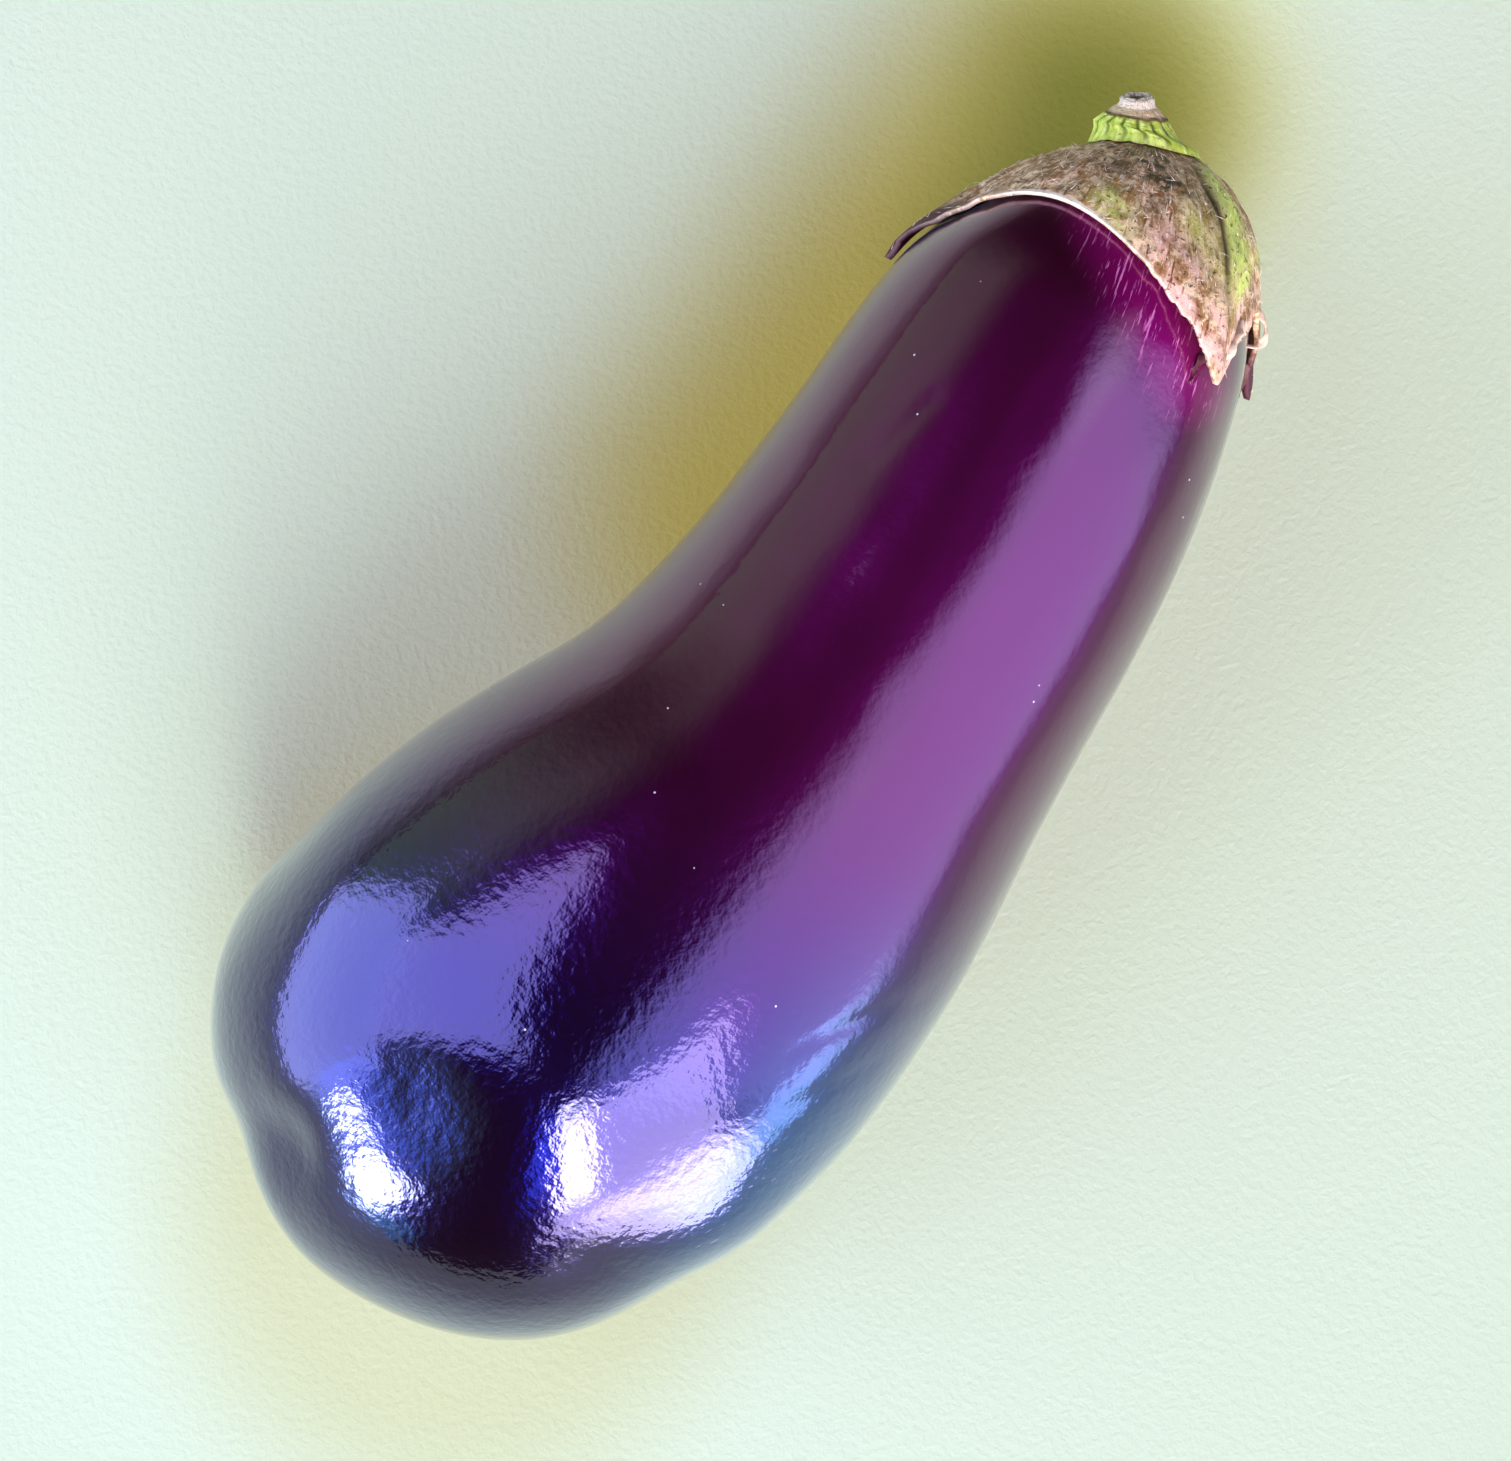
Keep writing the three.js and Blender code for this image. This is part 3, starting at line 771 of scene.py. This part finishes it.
# Painted shade: the valleys between the ribs are coloured darker, as the shade in them.
painted_rib_shade = every_point(0, under * 0, stem_ribbed * smooth(0.6, 0.15, ridge), last=0)
turns = every_point(0, np.tile(stem_angle, len(under) + STEM_ROWS), last=0)
edge_wave = 0.02 * field(turns / 360, wide * 0, 22, 1, 26)
paint(stem, "collar", bump(share + edge_wave, 0.655, 0.045))
paint(stem, "dried", smooth(0.66, 0.69, share + edge_wave))
paint(stem, "core", smooth(0.8, 0.84, share))
paint(stem, "painted_rib_shade", np.clip(painted_rib_shade, 0, 1))
# Painted shade: the middle of the broken end is coloured dark, as the shade inside its hollow.
paint(stem, "painted_hollow_shade", smooth(1.6, 0.9, wide))
spin = np.radians(turns)
paint_grain(
    stem,
    np.cos(spin) * STEM_GRAIN_RADIUS,
    np.sin(spin) * STEM_GRAIN_RADIUS,
    share * STEM_GRAIN_LONG,
)

fibres, specks, rough = dried(tree)
color = blend(tree, ramp(tree, fibres, 0.35, 0.65), (0.46, 0.56, 0.03, 1), (0.75, 0.82, 0.16, 1))
# Painted shade in the valleys between the ribs.
color = blend(tree, attribute(tree, "painted_rib_shade"), color, (0.13, 0.19, 0.003, 1))
color = blend(tree, attribute(tree, "dried"), color, (0.62, 0.44, 0.22, 1))
color = blend(tree, ramp(tree, specks, 0.56, 0.72), color, (0.3, 0.2, 0.05, 1))
color = blend(tree, attribute(tree, "collar"), color, (0.1, 0.045, 0.006, 1))
color = blend(tree, attribute(tree, "core"), color, (0.66, 0.54, 0.36, 1))
# Painted shade inside the hollow end.
color = blend(tree, attribute(tree, "painted_hollow_shade"), color, (0.2, 0.12, 0.06, 1))
tree.links.new(color, rind.inputs["Base Color"])
tree.links.new(rough, rind.inputs["Normal"])
rind.inputs["Roughness"].default_value = 0.65

# THE FLOOR, THE LIGHT AND THE CAMERA
# A pale floor under soft studio light, seen from straight above. Each light is where
# it shows in the glossy skin. The floor's colour holds painted shade round the fruit and far from it,
# and the floor gives off a painted warm glow.

FLOOR_REACH = 20.0  # metres either way
# Each painted shade follows a line: its ends in metres, how far out it reaches and is still full.
NECK_SHADE = ((0.03, 0.012, 0), (0.119, 0.001, 0), 0.055, 0.01)
STEM_SHADE = ((0.092, -0.008, 0), (0.119, -0.004, 0), 0.036, 0.004)
BELLY_SHADE = ((-0.07, 0.005, 0), (-0.105, -0.002, 0), 0.065, 0.03)
FLOOR_MIDDLE = (0.03, 0, 0)  # painted shade: the floor's colour and glow darken away from here, between two distances
FAR_START, FAR_END = 0.15, 0.5
# The second colour is painted shade that the floor takes far from the fruit.
PALE_COLOR, FAR_SHADE_COLOR = (0.265, 0.385, 0.285, 1), (0.12, 0.17, 0.11, 1)
NECK_SHADE_COLOR = (0.22, 0.26, 0.06, 1)
BELLY_SHADE_COLOR = (0.235, 0.31, 0.18, 1)
STEM_SHADE_COLOR = (0.12, 0.125, 0.006, 1)
# Painted glow: warm light that the floor gives off by itself, though it is no lamp: near the fruit,
# under the stem and far off.
WARM_GLOW, STEM_GLOW, FAR_GLOW = (0.21, 0.1, 0, 1), (0.05, 0.035, 0, 1), (0.1, 0.06, 0.01, 1)

floor_mesh = bpy.data.meshes.new("floor")
corners = [(-1, -1, 0), (1, -1, 0), (1, 1, 0), (-1, 1, 0)]
floor_mesh.from_pydata(np.array(corners) * FLOOR_REACH, [], [(0, 1, 2, 3)])


def vector(tree, operation, first, second, output="Vector"):
    """The socket of one vector sum of two sockets or places."""
    made = node(tree, "VectorMath", operation=operation)
    for socket, value in zip(made.inputs, (first, second)):
        feed(tree, socket, value)
    return made.outputs[output]


def shade_along(tree, place, start, end, reach, full):
    """A soft painted shade round a line on the floor, in metres: 1 near it, 0 beyond its reach."""
    way = np.subtract(end, start)
    off = vector(tree, "SUBTRACT", place, start)
    share = vector(tree, "DOT_PRODUCT", off, way / (way @ way), "Value")
    share = node(tree, "Clamp", Value=share).outputs["Result"]
    scaled = node(tree, "VectorMath", operation="SCALE", Vector=tuple(way), Scale=share)
    away = vector(tree, "DISTANCE", off, scaled.outputs["Vector"], "Value")
    return ramp(tree, away, reach, full)


floor_material, tree, floor_shader = new_material("pale floor")
place = node(tree, "TexCoord").outputs["Object"]
painted_stem_shade = shade_along(tree, place, *STEM_SHADE)
from_middle = vector(tree, "DISTANCE", place, FLOOR_MIDDLE, "Value")
far = ramp(tree, from_middle, FAR_START, FAR_END)
# Painted shade: the floor's colour is darkened round the neck, the belly and under the stem.
color = blend(tree, shade_along(tree, place, *NECK_SHADE), PALE_COLOR, NECK_SHADE_COLOR)
color = blend(tree, shade_along(tree, place, *BELLY_SHADE), color, BELLY_SHADE_COLOR)
color = blend(tree, painted_stem_shade, color, STEM_SHADE_COLOR)
# Painted shade far from the fruit.
color = blend(tree, far, color, FAR_SHADE_COLOR)
tree.links.new(color, floor_shader.inputs["Base Color"])
# The floor's emission is a painted glow.
color = blend(tree, far, blend(tree, painted_stem_shade, WARM_GLOW, STEM_GLOW), FAR_GLOW)
tree.links.new(color, floor_shader.inputs["Emission Color"])
paper = noise(tree, place, 700.0, 3.0)
grain = node(tree, "Bump", Strength=0.5, Distance=0.0004, Height=paper)
tree.links.new(grain.outputs["Normal"], floor_shader.inputs["Normal"])
set_sockets(floor_shader, {"Roughness": 0.9, "Emission Strength": 1})
floor_mesh.materials.append(floor_material)
floor = bpy.data.objects.new("floor", floor_mesh)
bpy.context.scene.collection.objects.link(floor)

ROOM_COLOR = (0.03, 0.03, 0.025, 1)
WALL_COLOR = (0.45, 0.78, 0.42, 1)  # a lit wall, low down and behind the fruit

world = bpy.data.worlds.new("studio")
world.use_nodes = True
tree = world.node_tree
backdrop = tree.nodes["Background"]
heading = node(tree, "TexCoord").outputs["Generated"]
heading = node(tree, "SeparateXYZ", Vector=heading)
low = ramp(tree, heading.outputs["Z"], 0.85, 0.55)
back = ramp(tree, heading.outputs["Y"], 0.1, 0.4)
left = ramp(tree, heading.outputs["X"], 0.6, 0.2)
wall = times(tree, times(tree, low, back), left)
room = blend(tree, wall, ROOM_COLOR, WALL_COLOR)
tree.links.new(room, backdrop.inputs["Color"])
bpy.context.scene.world = world


LIGHT_AIM = 0.05  # height in metres that every light faces


def soft_box(name, turn, rise, width, height, glow, color, edge=0.25, roll=0, distance=4.0):
    """A rectangular light that faces the fruit from a turn round it and a rise above the
    floor, in degrees, with its width and height in degrees too, rolled about its middle.
    Its glow is radiance, and fades out over a share of its size at each edge."""
    turn, rise, roll = np.radians(turn), np.radians(rise), np.radians(roll)
    light = bpy.data.lights.new(name, "AREA")
    light.shape = "RECTANGLE"
    light.size, light.size_y = (2 * distance * np.tan(np.radians(a) / 2) for a in (width, height))
    light.energy = glow * np.pi * light.size * light.size_y
    light.color = color
    light.use_nodes = True
    tree = light.node_tree
    place = node(tree, "SeparateXYZ", Vector=node(tree, "NewGeometry").outputs["Parametric"])
    masks = []
    for axis in "XY":
        away = math(tree, "ABSOLUTE", math(tree, "SUBTRACT", place.outputs[axis], 0.5))
        masks.append(ramp(tree, away, 0.5, 0.5 - edge))
    tree.links.new(times(tree, *masks), tree.nodes["Emission"].inputs["Strength"])
    lamp = bpy.data.objects.new(name, light)
    way = np.array([np.cos(turn) * np.cos(rise), np.sin(turn) * np.cos(rise), np.sin(rise)])
    lamp.location = way * distance + np.array([0, 0, LIGHT_AIM])
    aim = Euler((np.pi / 2 - rise, 0, turn + np.pi / 2)).to_matrix()
    lamp.rotation_euler = (aim @ Euler((0, 0, roll)).to_matrix()).to_euler()
    bpy.context.scene.collection.objects.link(lamp)


soft_box("side_window", -90, 41, 56, 88, 3.8, (0.52, 0.55, 0.97), edge=0.2)
soft_box("bright_strip", -147, 42, 14, 48, 18, (1, 1, 0.9), roll=12)
soft_box("bright_window", -134, 34, 34, 58, 7, (1, 0.86, 1), edge=0.12)
soft_box("bright_foot", -128, 5, 34, 34, 9, (1, 0.88, 0.95), edge=0.3)
soft_box("blue_edge", -161, 44, 10, 40, 6, (0.05, 0.12, 1), edge=0.4, roll=12)
soft_box("far_window", 160, 13, 16, 24, 34, (0.9, 1, 1), edge=0.35)
soft_box("far_edge", 153, 22, 18, 36, 3, (0.05, 0.2, 1), edge=0.3)
soft_box("sky_window", 122, 17, 64, 50, 5, (0.48, 0.53, 1), edge=0.12, distance=0.9)
soft_box("high_window", 122, 56, 42, 40, 5, (0.55, 0.55, 1), edge=0.15, distance=0.9)
soft_box("low_right", -112, 6, 46, 20, 5, (0.35, 0.75, 1), edge=0.3)
soft_box("low_left", 163, 4, 26, 14, 2, (0.15, 0.6, 1), edge=0.3)
soft_box("top_glow", -45, 58, 24, 26, 1, (0.8, 1, 0.9), edge=0.4)

CAMERA_PLACE = (-0.00363, -0.00433, 0.5258)
CAMERA_TURN = -60  # degrees, looking straight down
LENS_LONG, SENSOR_WIDE = 72.4, 36

lens = bpy.data.cameras.new("camera")
lens.sensor_width = SENSOR_WIDE
lens.lens = LENS_LONG
camera = bpy.data.objects.new("camera", lens)
camera.location = CAMERA_PLACE
camera.rotation_euler = (0, 0, np.radians(CAMERA_TURN))
bpy.context.scene.collection.objects.link(camera)
bpy.context.scene.camera = camera
bpy.context.scene.view_settings.view_transform = "Standard"
